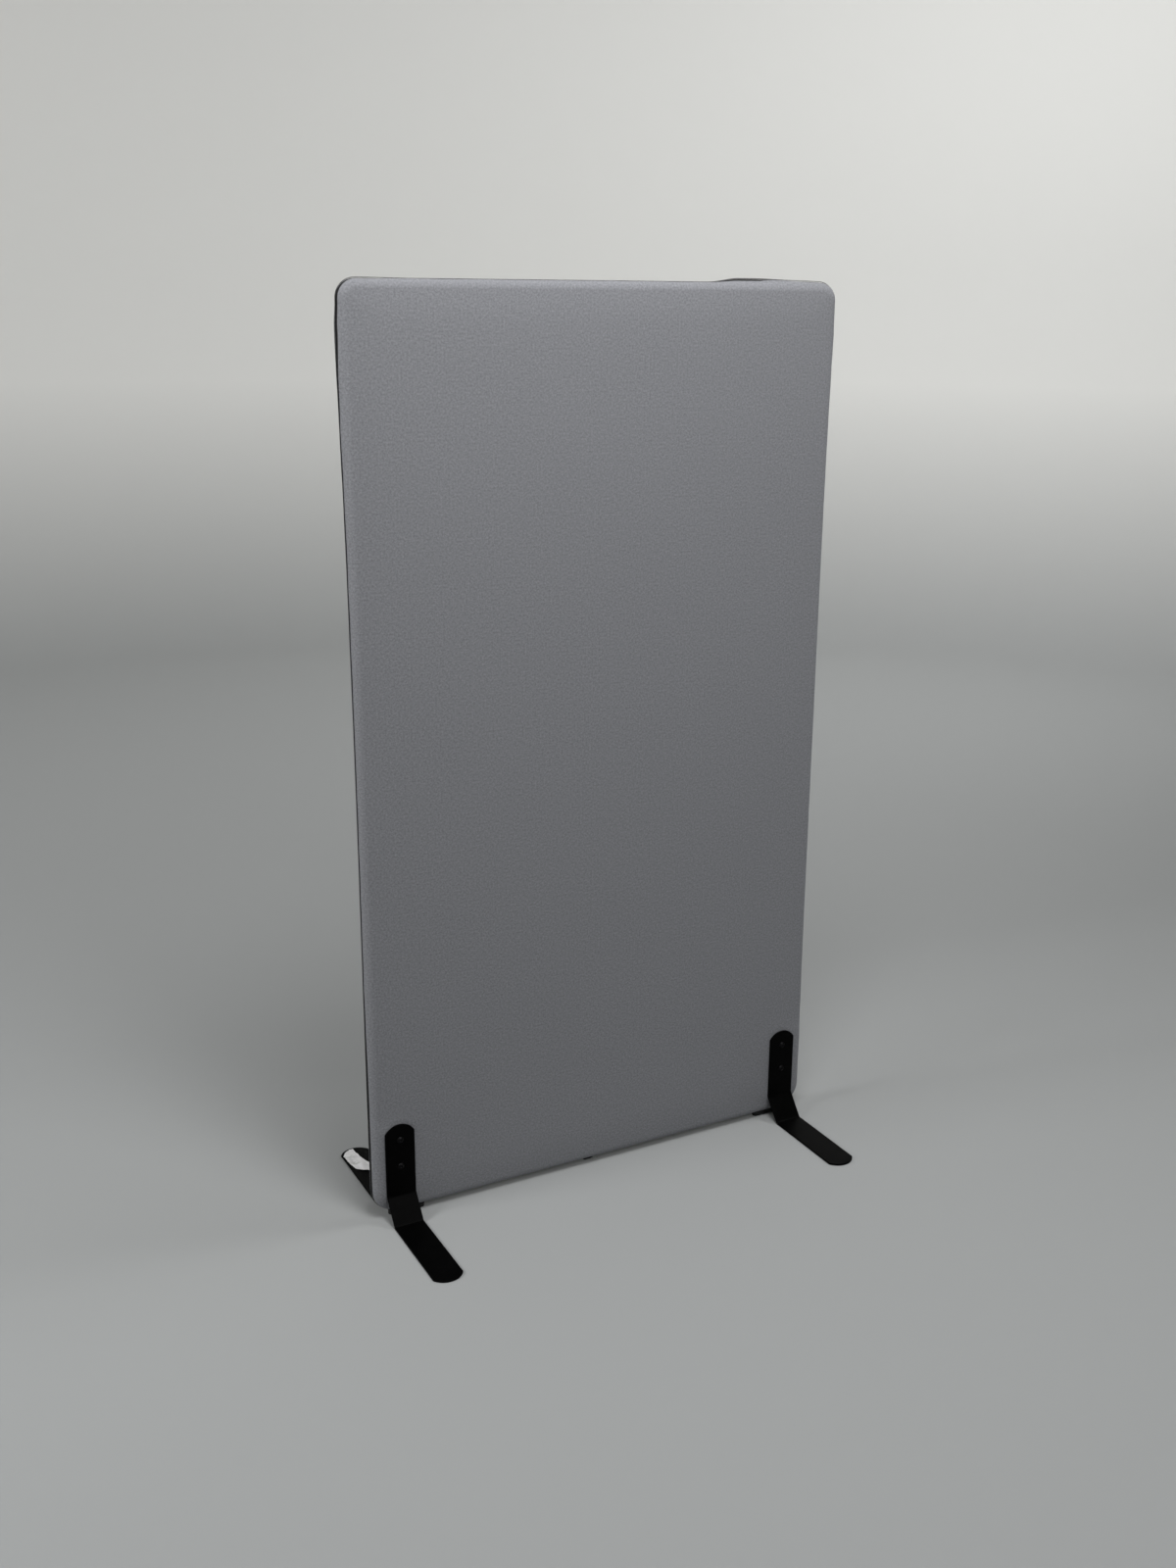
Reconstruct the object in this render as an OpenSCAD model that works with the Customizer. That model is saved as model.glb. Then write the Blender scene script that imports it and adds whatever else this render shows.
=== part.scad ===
// Free-standing upholstered partition wall: a timber-framed absorber panel in a
// two-part fabric cover that is zipped together round its edge, held upright by
// four bent flat-steel legs.  Millimetres, floor at z = 0, the front faces -Y.

/* [Panel] */
// Width of the covered panel
panel_w = 800; // [600:10:1600]
// Height of the covered panel, without the gap under it
panel_h = 1395; // [900:5:2000]
// Thickness of the covered panel
panel_t = 30; // [25:1:50]
// Radius of the two upper corners, seen from the front
top_corner_r = 27; // [26:1:60]
// Radius of the two lower corners, seen from the front
bottom_corner_r = 42; // [26:1:60]
// Gap between the floor and the panel's lower edge
ground_gap = 7; // [5:0.5:20]

/* [Upholstery] */
// Thickness of the fabric cover
cover_t = 1; // [0.6:0.1:1.4]
// Thickness of the wadding between the frame and the cover
wadding_t = 3.3; // [2:0.1:6]

/* [Frame] */
// Width of the two upright stiles
stile_w = 70; // [60:1:110]
// Width of the three cross rails
rail_w = 45; // [36:1:70]
// Diameter of the dowels in the frame joints
dowel_d = 8; // [6:1:10]
// Length of the dowels, half in the stile and half in the rail
dowel_len = 40; // [24:2:60]
// Distance between the two dowels of one joint
dowel_pitch = 22; // [14:1:24]
// Gap left round the absorber in its opening
absorber_gap = 0.5; // [0.3:0.1:3]

/* [Zip] */
// Width of the slit between the two covers, filled by the zip
zip_slit = 4; // [3:0.5:6]
// Width of one zip tape, most of it hidden under the cover
tape_w = 6.9; // [4:0.1:8]
// Thickness of the zip tape
tape_t = 0.6; // [0.3:0.1:0.8]
// Width of one row of zip teeth
coil_w = 1.5; // [1:0.1:2]
// Height of the zip teeth above their tape
coil_h = 0.9; // [0.5:0.1:1]
// Length of the zip slider
slider_len = 11; // [8:0.5:14]
// Width of the zip slider
slider_w = 8.8; // [6:0.2:10]
// Distance of the closed slider from the panel's middle, to the left
slider_offset = 14; // [12:1:200]
// Length of the pull, from its pin to its tip
pull_len = 12; // [9:0.5:24]
// Width of the pull
pull_w = 5; // [4.6:0.2:8]

/* [Legs] */
// Width of the flat steel
leg_w = 48; // [40:1:80]
// Thickness of the flat steel
leg_t = 3.5; // [2:0.5:6]
// Distance from the panel's side to the middle of a leg
leg_inset = 44.6; // [35:0.2:54]
// Height of the top of the leg's upright tab
tab_top = 161; // [140:1:260]
// Height of the bend under the tab
tab_bend = 40; // [25:1:60]
// Distance of the floor bend from the panel's face
toe_bend = 32.2; // [20:0.2:60]
// Reach of the leg along the floor, from the panel's face
leg_reach = 197.5; // [140:0.5:320]
// Depth of the round ends of the leg
end_sagitta = 14; // [6:1:19]
// Inner radius of both bends
bend_r = 3; // [2:0.5:6]

/* [Fixings] */
// Height of the upper leg screw
screw_top = 135; // [110:1:136]
// Distance between the two screws of one leg
screw_pitch = 45; // [24:1:56]
// Diameter of the leg screws
screw_d = 6; // [5:1:6]
// Diameter of the screw heads
head_d = 10.5; // [9.5:0.5:14]
// Height of the domed screw heads
head_h = 3.3; // [2.2:0.1:4]
// Width across the flats of the hexagon socket
socket_af = 4; // [3:0.5:5]
// Outer diameter of the threaded inserts
insert_d = 9; // [8:0.5:12]

/* [Glides] */
// Length of the rubber glides under the panel
glide_len = 60; // [30:1:80]
// Depth of the glides, across the panel
glide_w = 12; // [8:1:20]
// Distance of the glide's outer end from the panel's side
glide_inset = 28; // [26:1:60]

/* [Paper label] */
// Thickness of the torn paper label on the back left leg
paper_t = 0.3; // [0.2:0.1:0.5]
// Distance of the label's outer end from the tip of the leg
paper_inset = 4; // [2:1:60]

/* [Hidden] */
$fn = 64;
screw_clear = 0.3;
running_clear = 0.08;
slide_clear = 0.3;
groove_clear = 0.2;
layer_gap = 0.1;
seam = 0.2;
overrun = 1;

edge_r = panel_t / 2;
edge_core_x = panel_w / 2 - edge_r;
edge_core_z = panel_h / 2 - edge_r;
core_corner_r = [top_corner_r - edge_r, top_corner_r - edge_r,
                 bottom_corner_r - edge_r, bottom_corner_r - edge_r];
panel_mid_z = ground_gap + panel_h / 2;

cover_r = edge_r - cover_t;
wadding_r = cover_r - layer_gap;
tape_r = wadding_r - tape_t;
frame_r = wadding_r - wadding_t - layer_gap;
coil_r = wadding_r + coil_h;

frame_x = edge_core_x + frame_r;
frame_z = edge_core_z + frame_r;
stile_x = frame_x - stile_w;
rail_edge_z = frame_z - rail_w;

leg_x = panel_w / 2 - leg_inset;
end_r = (pow(leg_w / 2, 2) + pow(end_sagitta, 2)) / (2 * end_sagitta);
bury = edge_r - frame_r;
insert_len = frame_r - seam * 2.5;
screw_len = leg_t + bury + insert_len - 2;
screw_heights = [screw_top, screw_top - screw_pitch];

zip_bottom_z = ground_gap + edge_r - coil_r;
slider_t = 1.5;
slider_z = zip_bottom_z - slide_clear;
pin_r = 0.6;
ear_r = 1.15;
ear_t = 1;
lug_w = 1.8;
lug_r = 1.3;
pull_t = 1;
pin_z = slider_z - slider_t - ear_r - groove_clear;
stop_len = 5;

// ---- Panel space: drawn lying flat with its front up, then stood on its edge ----

module stand_up() {
    translate([0, 0, panel_mid_z]) rotate([90, 0, 0]) children();
}

// Turns the front half's shape over to make the back half's.
module half(face) {
    if (face < 0) children();
    else mirror([0, 0, 1]) children();
}

// Distance of a side's core line from the middle.  Sides and corners are counted
// counter-clockwise from the right side and the corner above it.
function side_out(side) = side % 2 == 0 ? edge_core_x : edge_core_z;

// At the centre of a corner's arc, with x pointing away from the side before it.
module at_corner(side) {
    rotate([0, 0, side * 90])
        translate([side_out(side) - core_corner_r[side],
                   side_out(side + 1) - core_corner_r[side], 0])
            children();
}

// Rounded rectangle through the middle of the panel's half-round edge.
module core_outline() {
    difference() {
        square([2 * edge_core_x, 2 * edge_core_z], center = true);
        for (side = [0:3]) at_corner(side) square(core_corner_r[side] + overrun);
    }
    for (side = [0:3]) at_corner(side) circle(r = core_corner_r[side]);
}

// Carries a profile (x outward from the core outline, y towards the front) round the
// panel: along each side, and round the corner after it.
module round_the_edge() {
    for (side = [0:3]) at_corner(side) {
        before = core_corner_r[(side + 3) % 4];
        after = core_corner_r[side];
        translate([after, 0, 0]) rotate([90, 0, 0])
            linear_extrude(height = 2 * side_out(side + 1) - before - after) children();
        rotate_extrude(angle = 90) translate([after, 0]) children();
    }
}

// The part of a ring between two radii that starts a little in front of the middle plane.
module edge_band(inner, outer, low, high) {
    intersection() {
        difference() {
            circle(r = outer);
            circle(r = inner);
        }
        translate([0, low]) square([outer + overrun, high - low]);
    }
}

// A flat sheet over one face of the panel, rolled over the edge as far as the middle.
module rolled_sheet(inner, outer, low) {
    translate([0, 0, inner]) linear_extrude(height = outer - inner) core_outline();
    round_the_edge() edge_band(inner, outer, low, outer + overrun);
}

// Clearance holes for the leg screws through the panel's soft layers.
module screw_holes(radius) {
    for (side = [-1, 1], height = screw_heights)
        translate([side * leg_x, height - panel_mid_z, 0])
            cylinder(r = radius, h = panel_t + 2 * overrun, center = true);
}

// ---- Timber frame ----

module frame_blank() {
    linear_extrude(height = 2 * frame_r, center = true) core_outline();
    round_the_edge() intersection() {
        circle(r = frame_r);
        translate([0, -frame_r]) square([frame_r, 2 * frame_r]);
    }
}

module dowel_row(radius, rail_z) {
    for (side = [-1, 1], step = [-0.5, 0.5])
        translate([side * stile_x, rail_z + step * dowel_pitch, 0]) rotate([0, 90, 0])
            cylinder(r = radius, h = dowel_len + (radius > dowel_d / 2 ? seam : 0), center = true);
}

module all_dowel_holes() {
    for (rail_z = [rail_edge_z + rail_w / 2, 0, -rail_edge_z - rail_w / 2])
        dowel_row(dowel_d / 2 + seam / 4, rail_z);
}

module stile(side) {
    color("burlywood") stand_up() difference() {
        intersection() {
            frame_blank();
            translate([side * (stile_x + stile_w / 2), 0, 0])
                cube([stile_w, 2 * frame_z + overrun, 2 * frame_r + overrun], center = true);
        }
        all_dowel_holes();
        screw_holes(insert_d / 2 + seam / 4);
    }
}

module rail(middle_z) {
    color("wheat") stand_up() difference() {
        intersection() {
            frame_blank();
            translate([0, middle_z, 0])
                cube([2 * stile_x, rail_w, 2 * frame_r + overrun], center = true);
        }
        all_dowel_holes();
    }
}

module dowels(rail_z) {
    color("peru") stand_up() dowel_row(dowel_d / 2, rail_z);
}

// ---- Soft layers ----

module absorber(side) {
    open_h = rail_edge_z - rail_w / 2;
    color("darkkhaki") stand_up()
        translate([0, side * (rail_w + open_h) / 2, 0])
            cube([2 * (stile_x - absorber_gap), open_h - 2 * absorber_gap,
                  2 * (frame_r - seam)], center = true);
}

module wadding(face) {
    color("white") stand_up() half(face) difference() {
        rolled_sheet(frame_r + layer_gap, wadding_r, seam);
        round_the_edge()
            edge_band(tape_r - layer_gap, wadding_r + seam, 0, tape_w + 2 * seam);
        screw_holes(screw_d / 2 + screw_clear);
    }
}

module cover(face) {
    color("slategray") stand_up() half(face) difference() {
        rolled_sheet(cover_r, edge_r, zip_slit / 2);
        screw_holes(screw_d / 2 + screw_clear);
    }
}

// ---- Zip ----

module zip_tape(face) {
    color("black") stand_up() half(face)
        round_the_edge() edge_band(tape_r, wadding_r, seam / 2, tape_w);
}

module zip_teeth(face) {
    color("dimgray") stand_up() half(face)
        round_the_edge() translate([wadding_r, seam / 2]) square([coil_h, coil_w]);
}

module zip_stop() {
    color("black")
        translate([slider_len / 2 - slider_offset + slide_clear, -zip_slit / 2, slider_z - 1])
            cube([stop_len, zip_slit, zip_bottom_z - slider_z + 1]);
}

module zip_slider() {
    nose_r = slider_w / 2;
    color("black") translate([-slider_offset, 0, 0]) difference() {
        union() {
            translate([0, 0, slider_z - slider_t]) linear_extrude(height = slider_t) {
                translate([slider_len / 2 - nose_r, 0]) circle(r = nose_r);
                translate([-slider_len / 2, -slider_w * 0.35])
                    square([slider_len / 2, slider_w * 0.7]);
                translate([-slider_len / 4, -slider_w / 2])
                    square([slider_len * 0.75 - nose_r, slider_w]);
            }
            translate([-lug_r, -lug_w / 2, pin_z])
                cube([2 * lug_r, lug_w, slider_z - slider_t - pin_z]);
            translate([0, 0, pin_z]) rotate([90, 0, 0])
                cylinder(r = lug_r, h = lug_w, center = true);
        }
        translate([0, 0, pin_z]) rotate([90, 0, 0])
            cylinder(r = pin_r + running_clear, h = slider_w, center = true);
    }
}

module zip_pull() {
    ear_y = lug_w / 2 + seam;
    tab_start = lug_r + 3 * seam;
    color("black") translate([-slider_offset, 0, pin_z]) {
        rotate([90, 0, 0]) cylinder(r = pin_r, h = 2 * (ear_y + ear_t), center = true);
        for (side = [-1, 1]) {
            translate([0, side * (ear_y + ear_t / 2), 0]) rotate([90, 0, 0])
                cylinder(r = ear_r, h = ear_t, center = true);
            translate([-tab_start - seam, side * (ear_y + ear_t / 2) - ear_t / 2, -pull_t / 2])
                cube([tab_start + seam, ear_t, pull_t]);
        }
        translate([0, 0, -pull_t / 2]) linear_extrude(height = pull_t) {
            translate([-pull_len + pull_w / 2, 0]) circle(r = pull_w / 2);
            translate([-pull_len + pull_w / 2, -pull_w / 2])
                square([pull_len - pull_w / 2 - tab_start, pull_w]);
        }
    }
}

// ---- Legs, in leg space: x away from the panel's face, y across the leg, z up ----

module at_leg(side, face) {
    translate([side * leg_x, face * panel_t / 2, 0]) rotate([0, 0, face * 90]) children();
}

// Side profile of the bent strip: an upright tab, a slope and a floor plate.  The
// outer surface runs through the two bend points, and both bends turn about centres
// on that side.
slope_run = toe_bend - leg_t;
slope_fall = tab_bend - leg_t;
slope_tilt = atan2(slope_run, slope_fall);
upper_c = [leg_t + bend_r, tab_bend + bend_r * tan(slope_tilt / 2)];
lower_c = [toe_bend + bend_r * tan((90 - slope_tilt) / 2), leg_t + bend_r];

module bend(centre, from, to) {
    reach = 2 * (bend_r + leg_t);
    translate(centre) intersection() {
        difference() {
            circle(r = bend_r + leg_t);
            circle(r = bend_r);
        }
        polygon([[0, 0], reach * [cos(from), sin(from)], reach * [cos(to), sin(to)]]);
    }
}

module leg_profile() {
    slope_len = norm(lower_c - upper_c);
    translate([0, upper_c[1]]) square([leg_t, tab_top - upper_c[1]]);
    bend(upper_c, 180, 180 + slope_tilt);
    translate(upper_c) rotate(slope_tilt - 90)
        translate([0, -bend_r - leg_t]) square([slope_len, leg_t]);
    bend(lower_c, 180 + slope_tilt, 270);
    translate([lower_c[0], 0]) square([leg_reach - lower_c[0], leg_t]);
}

// What is cut away beyond the round end of the strip, for an end that points along +x.
module end_cut() {
    translate([-end_sagitta, 0]) difference() {
        translate([0, -leg_w]) square([end_sagitta + overrun, 2 * leg_w]);
        translate([end_sagitta - end_r, 0]) circle(r = end_r);
    }
}

module leg(side, face) {
    color([0.06, 0.06, 0.065]) at_leg(side, face) difference() {
        rotate([90, 0, 0]) linear_extrude(height = leg_w, center = true) leg_profile();
        translate([leg_reach, 0, -overrun]) linear_extrude(height = leg_t + 2 * overrun)
            end_cut();
        translate([leg_t + overrun, 0, tab_top]) rotate([0, -90, 0])
            linear_extrude(height = leg_t + 2 * overrun) end_cut();
        for (height = screw_heights)
            translate([leg_t / 2, 0, height]) rotate([0, 90, 0])
                cylinder(r = screw_d / 2 + screw_clear, h = leg_t + 2 * overrun, center = true);
    }
}

// Domed socket screws, turned about their axis: a ball cut to the head, on a shank.
module leg_screw() {
    dome_r = (pow(head_d / 2, 2) + pow(head_h, 2)) / (2 * head_h);
    rotate([0, 90, 0]) difference() {
        union() {
            translate([0, 0, -screw_len]) cylinder(r = screw_d / 2, h = screw_len + seam);
            rotate_extrude() intersection() {
                translate([0, head_h - dome_r]) circle(r = dome_r);
                square([head_d / 2, head_h]);
            }
        }
        translate([0, 0, head_h * 0.4])
            cylinder(r = socket_af / sqrt(3), h = head_h, $fn = 6);
    }
}

module leg_screws(side, face) {
    color([0.08, 0.08, 0.085]) at_leg(side, face)
        for (height = screw_heights) translate([leg_t, 0, height]) leg_screw();
}

module inserts(side, face) {
    color("silver") at_leg(side, face)
        for (height = screw_heights)
            translate([-bury - insert_len, 0, height]) rotate([0, 90, 0]) difference() {
                cylinder(r = insert_d / 2, h = insert_len);
                translate([0, 0, -overrun])
                    cylinder(r = screw_d / 2 + seam / 4, h = insert_len + 2 * overrun);
            }
}

// ---- Glides and label ----

module glide(side) {
    end_x = panel_w / 2 - glide_inset;
    round_r = glide_w / 2;
    color([0.05, 0.05, 0.05]) linear_extrude(height = ground_gap) {
        translate([side * (end_x - glide_len / 2), 0])
            square([glide_len - glide_w, glide_w], center = true);
        for (end = [end_x - round_r, end_x - glide_len + round_r])
            translate([side * end, 0]) circle(r = round_r);
    }
}

// Torn outline: along the leg from its tip, and across it in halves of its width.
torn_edge = [[0, 0.25], [-8, 0.7], [-18, 0.95], [-36, 0.92], [-52, 0.8], [-65, 0.7],
             [-75, 0.33], [-77, 0.05], [-90, -0.15], [-88, -0.55], [-70, -0.65],
             [-52, -0.37], [-30, -0.05], [-8, 0]];

module paper_label() {
    color("whitesmoke") at_leg(-1, 1)
        translate([leg_reach - paper_inset, 0, leg_t]) linear_extrude(height = paper_t)
            polygon([for (point = torn_edge) [point[0], point[1] * leg_w / 2]]);
}

stile(-1);  // stile_left
stile(1);  // stile_right
rail(rail_edge_z + rail_w / 2);  // rail_top
rail(0);  // rail_middle
rail(-rail_edge_z - rail_w / 2);  // rail_bottom
dowels(rail_edge_z + rail_w / 2);  // dowels_top
dowels(0);  // dowels_middle
dowels(-rail_edge_z - rail_w / 2);  // dowels_bottom
absorber(1);  // absorber_upper
absorber(-1);  // absorber_lower
wadding(-1);  // wadding_front
wadding(1);  // wadding_back
cover(-1);  // front_cover
cover(1);  // back_cover
zip_tape(-1);  // zip_tape_front
zip_tape(1);  // zip_tape_back
zip_teeth(-1);  // zip_teeth_front
zip_teeth(1);  // zip_teeth_back
zip_stop();
zip_slider();
zip_pull();
leg(-1, -1);  // leg_front_left
leg(1, -1);  // leg_front_right
leg(-1, 1);  // leg_back_left
leg(1, 1);  // leg_back_right
leg_screws(-1, -1);  // screws_front_left
leg_screws(1, -1);  // screws_front_right
leg_screws(-1, 1);  // screws_back_left
leg_screws(1, 1);  // screws_back_right
inserts(-1, -1);  // inserts_front_left
inserts(1, -1);  // inserts_front_right
inserts(-1, 1);  // inserts_back_left
inserts(1, 1);  // inserts_back_right
glide(-1);  // glide_left
glide(1);  // glide_right
paper_label();
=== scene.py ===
"""Looks for a free-standing upholstered partition wall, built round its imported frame.

Row frame: X across the panel, Y to the back, Z up, floor at z = 0.  Shapes are worked
out in millimetres and scaled once, when they become a mesh.
"""
import math

import bmesh
import bpy
import numpy as np
from mathutils import Matrix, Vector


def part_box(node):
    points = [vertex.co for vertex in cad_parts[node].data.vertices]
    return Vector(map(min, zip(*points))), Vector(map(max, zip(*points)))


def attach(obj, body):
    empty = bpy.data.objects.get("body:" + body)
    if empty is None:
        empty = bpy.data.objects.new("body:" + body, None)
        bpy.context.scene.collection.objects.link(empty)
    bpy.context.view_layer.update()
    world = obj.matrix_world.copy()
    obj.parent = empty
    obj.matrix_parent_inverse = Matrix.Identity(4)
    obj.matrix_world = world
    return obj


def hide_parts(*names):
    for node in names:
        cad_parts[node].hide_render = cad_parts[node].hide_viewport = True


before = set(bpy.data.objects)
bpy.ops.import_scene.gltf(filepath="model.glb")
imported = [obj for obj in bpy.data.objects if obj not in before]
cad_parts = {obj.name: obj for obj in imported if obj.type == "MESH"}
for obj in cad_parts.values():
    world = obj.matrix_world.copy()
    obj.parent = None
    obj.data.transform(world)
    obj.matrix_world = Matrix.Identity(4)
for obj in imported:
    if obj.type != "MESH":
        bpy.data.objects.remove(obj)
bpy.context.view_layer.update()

MM = 0.001
rng = np.random.default_rng(7)


# ---- Objects ----

def add_object(name, data):
    made = bpy.data.objects.new(name, data)
    bpy.context.scene.collection.objects.link(made)
    return made


def axes_at(place, right, up, back):
    """The matrix of an object at a place, from the directions of its three axes."""
    return Matrix([[right[i], up[i], back[i], place[i]] for i in range(3)] + [[0, 0, 0, 1]])


# ---- Camera ----

def aim_camera(place, heading, dip, roll, lens):
    """A camera at a place, turned right by its heading from +Y, dipped, then rolled."""
    forward = np.array([math.sin(heading) * math.cos(dip),
                        math.cos(heading) * math.cos(dip), -math.sin(dip)])
    level = np.array([math.cos(heading), -math.sin(heading), 0.0])
    upright = np.cross(level, forward)
    right = math.cos(roll) * level + math.sin(roll) * upright
    up = math.cos(roll) * upright - math.sin(roll) * level
    camera = add_object("camera", bpy.data.cameras.new("camera"))
    camera.matrix_world = axes_at(place, right, up, -forward)
    camera.data.sensor_width = 36
    camera.data.lens = lens
    bpy.context.scene.camera = camera


aim_camera(place=(-1.1283, -2.0733, 1.3737), heading=0.49058, dip=0.29581, roll=0.00554,
           lens=36.396)


# ---- Sizes, in millimetres ----

def box_mm(node_name):
    low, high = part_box(node_name)
    return np.array(low) / MM, np.array(high) / MM


cover_low, cover_high = box_mm("front_cover")
EDGE_R = -cover_low[1]                  # radius of the panel's half-round edge
SLIT = -cover_high[1]                   # half the slit that the zip fills
edge_reach = math.sqrt(EDGE_R ** 2 - SLIT ** 2)
CORE_X = cover_high[0] - edge_reach     # half size of the line that the edge turns about
CORE_Z = (cover_high[2] - cover_low[2]) / 2 - edge_reach
MID_Z = (cover_high[2] + cover_low[2]) / 2
TOP_CORNER = 27 - EDGE_R                # corner radii of that line
BOTTOM_CORNER = 42 - EDGE_R
CLOTH, WADDING = 1.0, 3.3               # thicknesses of the cover and the wadding
LAYER = 0.1                             # air between two soft layers

leg_low, leg_high = box_mm("leg_front_left")
LEG_X = -(leg_low[0] + leg_high[0]) / 2
LEG_W = leg_high[0] - leg_low[0]
LEG_REACH = -leg_low[1] - EDGE_R
TAB_TOP = leg_high[2]
LEG_T = 3.5
TAB_BEND = 40                           # height of the upper bend
TOE_BEND = 32.2                         # distance of the lower bend from the panel's face
BEND_R = 3                              # inside radius of both bends
END_SAGITTA = 14                        # rise of the arcs that end the strip

FACE_NAME = {-1: "front", 1: "back"}
SIDE_NAME = {-1: "left", 1: "right"}


# ---- Mesh building ----

def smoothstep(low, high, value):
    t = np.clip((value - low) / (high - low), 0, 1)
    return t * t * (3 - 2 * t)


def waves(length, wavelengths, along, count=5):
    """Sum of sines with random phases that close up after the given length; about -1 to 1."""
    turns = rng.integers(length / wavelengths[1], length / wavelengths[0] + 1, count)
    phases = rng.uniform(0, 2 * math.pi, count)
    strengths = rng.uniform(0.5, 1, count)
    total = sum(s * np.sin(2 * math.pi * n * along / length + p)
                for n, p, s in zip(turns, phases, strengths))
    return total / strengths.sum()


def add_mesh(name, points, faces, material, smooth=True, weld=False):
    """A mesh object at the origin from points (x, y, z and, where given, u, v in metres)."""
    mesh = bpy.data.meshes.new(name)
    mesh.from_pydata(points[:, :3] * MM, [], faces)
    if weld:
        work = bmesh.new()
        work.from_mesh(mesh)
        bmesh.ops.remove_doubles(work, verts=work.verts, dist=1e-7)
        work.to_mesh(mesh)
        work.free()
    if points.shape[1] == 5:
        flat = mesh.uv_layers.new(name="cloth")
        corners = np.zeros(len(mesh.loops), np.int32)
        mesh.loops.foreach_get("vertex_index", corners)
        flat.data.foreach_set("uv", points[corners, 3:].ravel().astype(np.float32))
    mesh.validate()
    mesh.polygons.foreach_set("use_smooth", np.full(len(mesh.polygons), smooth))
    mesh.materials.append(material)
    return add_object(name, mesh)


def finish_piece(piece, body, node_name):
    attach(piece, body)
    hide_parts(node_name)
    return piece


def border(grid):
    """The border of a grid as one loop: along its first edge, then round."""
    return np.concatenate([grid[:, 0], grid[-1, 1:], grid[-2::-1, -1], grid[0, -2:0:-1]])


def grid_quads(numbers):
    """Quads of a grid of point numbers, facing first axis x second axis."""
    return np.stack([numbers[:-1, :-1], numbers[1:, :-1], numbers[1:, 1:], numbers[:-1, 1:]],
                    -1).reshape(-1, 4)


def ring_quads(numbers):
    """Quads between rings of point numbers, one ring a row."""
    after = np.roll(numbers, -1, 1)
    return np.stack([numbers[:-1], numbers[1:], after[1:], after[:-1]], -1).reshape(-1, 4)


def wrap(front, rings, back):
    """Points and quads of a closed piece: a face grid, the rings that carry its border
    outwards and round, and the grid that closes it."""
    rings = np.asarray(rings)
    points = np.concatenate([part.reshape(-1, front.shape[-1]) for part in (front, rings, back)])
    front_at = np.arange(front.shape[0] * front.shape[1]).reshape(front.shape[:2])
    rings_at = front_at.size + np.arange(rings.shape[0] * rings.shape[1]).reshape(rings.shape[:2])
    back_at = front_at.size + rings_at.size + front_at
    loops = np.vstack([border(front_at), rings_at, border(back_at)])
    quads = [grid_quads(front_at), grid_quads(back_at)[:, ::-1], ring_quads(loops)]
    return points, np.concatenate(quads)


def outward(loop):
    """In-plane normals of a closed loop of points, lengthened at a corner as a mitre is."""
    step = np.roll(loop, -1, 0) - loop
    normal = np.stack([step[:, 1], -step[:, 0]], -1)
    normal /= np.linalg.norm(normal, axis=1, keepdims=True)
    both = normal + np.roll(normal, 1, 0)
    return both / np.maximum((both * both).sum(1, keepdims=True) / 2, 0.6)


def plate(face, top, bottom, edge_r):
    """A flat plate: the face grid at the top and bottom heights, and quarter-round edges
    of radius edge_r carried outwards round it."""
    loop = border(face)
    out = outward(loop)
    angle = np.linspace(0, math.pi / 2, 5)[1:]
    spread = edge_r * np.sin(angle)
    drop = edge_r * (1 - np.cos(angle))
    heights = np.concatenate([top - drop, (bottom + drop)[::-1]])
    rings = [np.column_stack([loop + out * s, np.full(len(loop), h)])
             for s, h in zip(np.concatenate([spread, spread[::-1]]), heights)]
    front = np.dstack([face, np.full(face.shape[:2], top)])
    back = np.dstack([face, np.full(face.shape[:2], bottom)])
    return wrap(front, rings, back)


def copy_with_round_edges(node_name, name, width, material, segments=2):
    """A merged copy of a frame node with its edges rounded."""
    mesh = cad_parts[node_name].data.copy()
    mesh.name = name
    work = bmesh.new()
    work.from_mesh(mesh)
    bmesh.ops.remove_doubles(work, verts=work.verts, dist=2e-6)
    bmesh.ops.dissolve_limit(work, angle_limit=math.radians(1), verts=work.verts,
                             edges=work.edges)
    work.to_mesh(mesh)
    work.free()
    mesh.materials.clear()
    mesh.materials.append(material)
    mesh.polygons.foreach_set("use_smooth", np.full(len(mesh.polygons), True))
    made = add_object(name, mesh)
    bevel = made.modifiers.new("round edges", "BEVEL")
    bevel.width = width * MM
    bevel.segments = segments
    bevel.limit_method = "ANGLE"
    bevel.angle_limit = math.radians(40)
    bevel.harden_normals = True
    return made


# ---- Materials ----

def linear(colour):
    """Linear RGBA of an sRGB hex colour."""
    values = [int(colour[i:i + 2], 16) / 255 for i in (1, 3, 5)]
    return [v / 12.92 if v <= 0.04045 else ((v + 0.055) / 1.055) ** 2.4 for v in values] + [1]


def node(tree, kind, inputs=None, stops=(), **settings):
    """Adds a shader node with its settings, and fills its inputs with values or links: a
    node given as an input links the first of its outputs in use.  A colour ramp also
    takes its stops, each a position and an sRGB colour."""
    made = tree.nodes.new("ShaderNode" + kind)
    for key, value in settings.items():
        setattr(made, key, value)
    for key, value in (inputs or {}).items():
        if isinstance(value, bpy.types.Node):
            value = next(socket for socket in value.outputs if socket.enabled)
        if isinstance(value, bpy.types.NodeSocket):
            tree.links.new(value, made.inputs[key])
        else:
            made.inputs[key].default_value = value
    for index, (position, colour) in enumerate(stops):
        elements = made.color_ramp.elements
        element = elements[index] if index < len(elements) else elements.new(1)
        element.position = position
        element.color = linear(colour)
    return made


def new_material(name):
    made = bpy.data.materials.new(name)
    made.use_nodes = True
    made.node_tree.nodes.clear()
    return made, made.node_tree


def per(size_mm):
    """The scale, in repeats a metre, of a pattern that repeats at a size in millimetres."""
    return 1 / (size_mm * MM)


WAVE = math.pi / 10     # a wave texture at a scale of 1 repeats every pi / 10 units


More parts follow.
